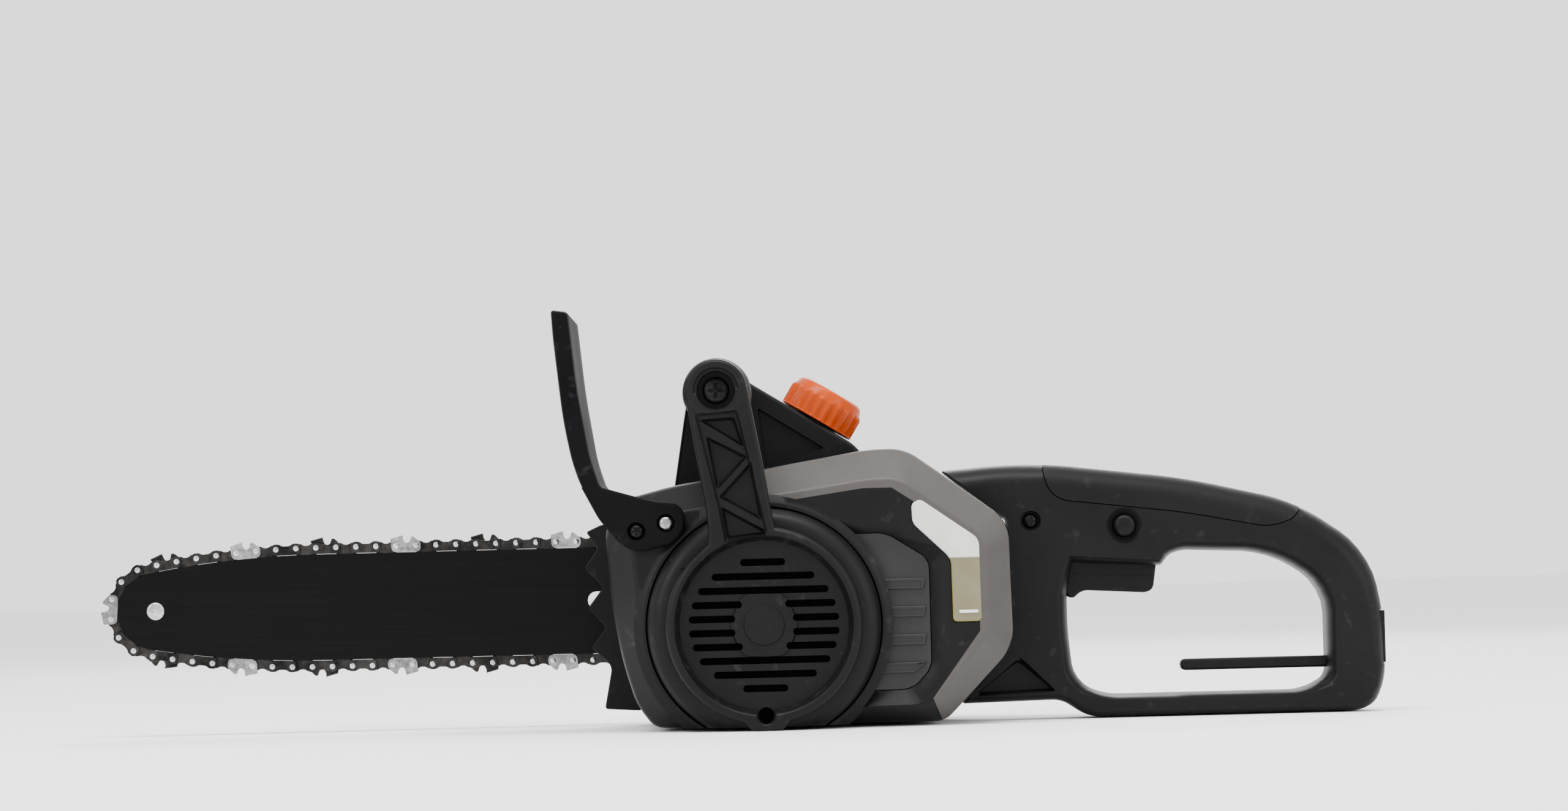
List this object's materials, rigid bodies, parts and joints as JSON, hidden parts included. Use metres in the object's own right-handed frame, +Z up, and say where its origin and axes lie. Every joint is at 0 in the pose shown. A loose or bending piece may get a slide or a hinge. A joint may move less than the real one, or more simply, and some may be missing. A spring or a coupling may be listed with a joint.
{
  "type": "electric chainsaw",
  "caption": "Corded electric chainsaw: guide bar with chain, side motor drum, strut front handle with hand guard, angled oil filler cap, D-shaped rear handle with trigger.",
  "frame": {"origin": "bottom centre of the whole saw's box, on the ground it stands on", "axes": "+X from the bar's nose to the rear handle, +Y to the saw's right side, where the bar is, +Z up"},
  "size_m": [0.6034, 0.168, 0.1916],
  "materials": {
    "black_plastic": "fine satin moulded texture",
    "grey_trim": "satin warm grey",
    "black_rubber": "matte soft overmould",
    "orange_plastic": "semi-gloss",
    "oil_window": "translucent, cloudy white",
    "steel": "machined",
    "dark_steel": "blued",
    "bar_paint": "gloss black",
    "copper": "machined copper",
    "brass": "machined",
    "aluminium": "die cast"
  },
  "bodies": {
    "root": {"left_housing": "black_plastic", "right_housing": "black_plastic", "side_trim": "grey_trim", "side_panel": "black_plastic", "oil_window": "oil_window", "motor_cover": "black_plastic", "front_handle_strut": "black_plastic", "front_handle_grip": "black_rubber", "front_handle_bolt": "steel", "hand_guard": "black_plastic", "guard_screw_front": "steel", "guard_screw_rear": "steel", "bumper_spikes": "black_plastic", "sprocket_cover": "black_plastic", "bar_stud": "steel", "chain_catcher": "aluminium", "spindle_bearing": "steel", "gearbox_plate": "aluminium", "motor_bearing_rear": "steel", "motor_bearing_front": "steel", "stator": "dark_steel", "brush_holder_upper": "brass", "brush_holder_lower": "brass", "oil_tank": "oil_window", "oil_pump": "brass", "oil_hose": "black_rubber", "rear_handle_left": "black_plastic", "rear_handle_right": "black_plastic", "rear_grip": "black_rubber", "handle_screw": "steel", "trigger_pin": "steel", "trigger_switch": "black_plastic", "power_inlet": "black_plastic", "inlet_blade_left": "brass", "inlet_blade_right": "brass", "cord_hook": "black_plastic"},
    "rotor": {"motor_shaft": "steel", "pinion_gear": "steel", "commutator": "copper", "armature": "steel", "cooling_fan": "black_plastic"},
    "spindle": {"drive_spindle": "steel", "drive_gear": "brass", "drive_sprocket": "steel"},
    "bar": {"guide_bar": "bar_paint", "chain": "dark_steel", "nose_rivet": "steel", "bar_adjuster": "steel"},
    "nose_wheel": {"nose_sprocket": "steel"},
    "tensioner": {"tension_ring": "grey_trim", "scroll_plate": "steel"},
    "lock_nut": {"lock_knob_nut": "steel"},
    "lock_knob": {"lock_knob": "black_plastic"},
    "cap_seal": {"oil_cap_seal": "black_rubber"},
    "cap": {"oil_cap": "orange_plastic"},
    "trigger": {"trigger": "black_plastic"},
    "plunger": {"switch_plunger": "steel"},
    "lock_off_button": {"lock_off_button": "black_plastic"}
  },
  "joints": [
    {"name": "motor_spin", "type": "hinge", "parent": "root", "child": "rotor", "pos_m": [0.015, 0.024, 0.047], "axis": [0, 1, 0], "continuous": true},
    {"name": "spindle_spin", "type": "hinge", "parent": "root", "child": "spindle", "pos_m": [0.04233, 0.024, 0.0595], "axis": [0, 1, 0], "continuous": true},
    {"name": "bar_tension", "type": "slide", "parent": "root", "child": "bar", "axis": [1, 0, 0], "range_m": [0, 0.0045]},
    {"name": "nose_spin", "type": "hinge", "parent": "bar", "child": "nose_wheel", "pos_m": [-0.2754, 0.05, 0.0595], "axis": [0, 1, 0], "continuous": true},
    {"name": "tension_turn", "type": "hinge", "parent": "root", "child": "tensioner", "pos_m": [-0.02, 0.068, 0.0595], "axis": [0, 1, 0], "range_deg": [0, 270]},
    {"name": "lock_nut_travel", "type": "slide", "parent": "root", "child": "lock_nut", "axis": [0, 1, 0], "range_m": [0, 0.00187]},
    {"name": "lock_knob_turn", "type": "hinge", "parent": "lock_nut", "child": "lock_knob", "pos_m": [-0.02, 0.0708, 0.0595], "axis": [0, 1, 0], "range_deg": [0, 540]},
    {"name": "cap_seal_travel", "type": "slide", "parent": "root", "child": "cap_seal", "axis": [0.5225, 0, 0.8526], "range_m": [0, 0.003]},
    {"name": "cap_turn", "type": "hinge", "parent": "cap_seal", "child": "cap", "pos_m": [0.0408, 0.02, 0.141], "axis": [0.5225, 0, 0.8526], "range_deg": [0, 270]},
    {"name": "trigger_pull", "type": "hinge", "parent": "root", "child": "trigger", "pos_m": [0.161, 0, 0.079], "axis": [0, -1, 0], "range_deg": [0, 7], "stiffness_Nm_per_rad": 0.4},
    {"name": "plunger_travel", "type": "slide", "parent": "root", "child": "plunger", "axis": [0, 0, 1], "range_m": [0, 0.0053]},
    {"name": "lock_off_push", "type": "slide", "parent": "root", "child": "lock_off_button", "axis": [0, 1, 0], "range_m": [0, 0.0035], "stiffness_N_per_m": 300}
  ],
  "couplings": [
    {"joint": "spindle_spin", "follows": "motor_spin", "ratio": -0.23077},
    {"joint": "nose_spin", "follows": "motor_spin", "ratio": -0.15385},
    {"joint": "tension_turn", "follows": "bar_tension", "rad_per_m": 1047.2},
    {"joint": "lock_nut_travel", "follows": "lock_knob_turn", "m_per_rad": 0.00019894},
    {"joint": "cap_seal_travel", "follows": "cap_turn", "m_per_rad": 0.00063662},
    {"joint": "plunger_travel", "follows": "trigger_pull", "m_per_rad": 0.043}
  ]
}
